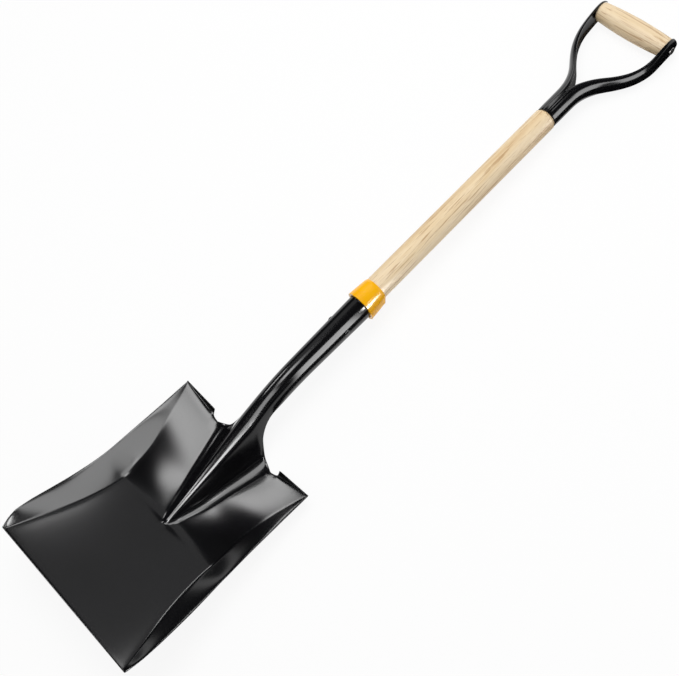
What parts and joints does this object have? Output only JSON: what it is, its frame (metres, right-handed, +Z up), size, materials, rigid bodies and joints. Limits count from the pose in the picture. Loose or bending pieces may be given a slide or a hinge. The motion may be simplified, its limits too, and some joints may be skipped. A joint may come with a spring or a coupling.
{
  "type": "square mouth shovel",
  "caption": "Open-socket square mouth shovel: pressed black steel pan, ash shaft, yellow collar over the joint, and a D-grip of a forked steel yoke with a wooden bar.",
  "frame": {"origin": "middle of the footprint on the floor, with the shovel lying on its back on the blade's heel and the grip", "axes": "+Y from the blade's mouth to the grip, +X across the blade to the right hand seen from the grip end with the pan up, +Z up"},
  "size_m": [0.2588, 1.0452, 0.082],
  "materials": {
    "enamel": "gloss",
    "ash": "satin",
    "plastic": "gloss",
    "steel": "satin"
  },
  "bodies": {
    "root": {"blade": "enamel", "shaft": "ash", "collar": "plastic", "socket_rivet": "enamel", "yoke": "enamel", "yoke_rivet": "enamel", "grip_bar": "ash", "grip_rod": "steel"}
  },
  "joints": []
}
